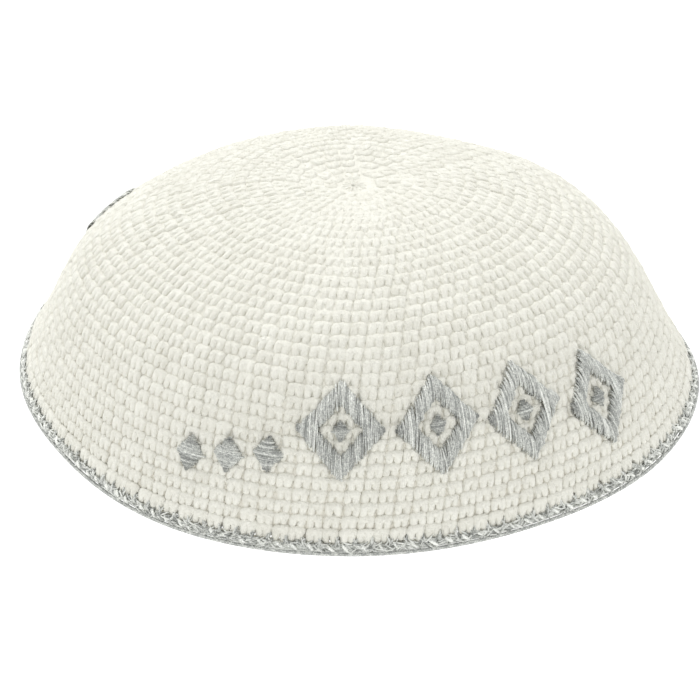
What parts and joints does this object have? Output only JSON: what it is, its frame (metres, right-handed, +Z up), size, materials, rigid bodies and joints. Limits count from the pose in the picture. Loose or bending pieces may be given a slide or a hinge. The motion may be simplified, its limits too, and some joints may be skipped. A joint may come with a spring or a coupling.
{
  "type": "kippah skullcap",
  "caption": "Dome-shaped skullcap of crocheted white cotton, open below for the head, with a silver thread edging and raised silver embroidery.",
  "frame": {"origin": "on the surface the cap rests on, under the middle of its rim", "axes": "+Z up through the crown, -Y towards the front with the three small diamonds on its left"},
  "size_m": [0.1584, 0.1493, 0.0482],
  "materials": {
    "white_cotton": "matt cream-white cotton yarn, crocheted",
    "silver_thread": "metallic silver thread, sparkling"
  },
  "bodies": {
    "root": {"crocheted_cap": "white_cotton", "silver_edging": "silver_thread", "front_diamond_1": "silver_thread", "front_diamond_2": "silver_thread", "front_diamond_3": "silver_thread", "front_lozenge_1": "silver_thread", "front_core_1": "silver_thread", "front_lozenge_2": "silver_thread", "front_core_2": "silver_thread", "front_lozenge_3": "silver_thread", "front_core_3": "silver_thread", "front_lozenge_4": "silver_thread", "front_core_4": "silver_thread", "back_lozenge_1": "silver_thread", "back_core_1": "silver_thread", "back_lozenge_2": "silver_thread", "back_core_2": "silver_thread", "back_lozenge_3": "silver_thread", "back_core_3": "silver_thread", "back_lozenge_4": "silver_thread", "back_core_4": "silver_thread"}
  },
  "joints": []
}
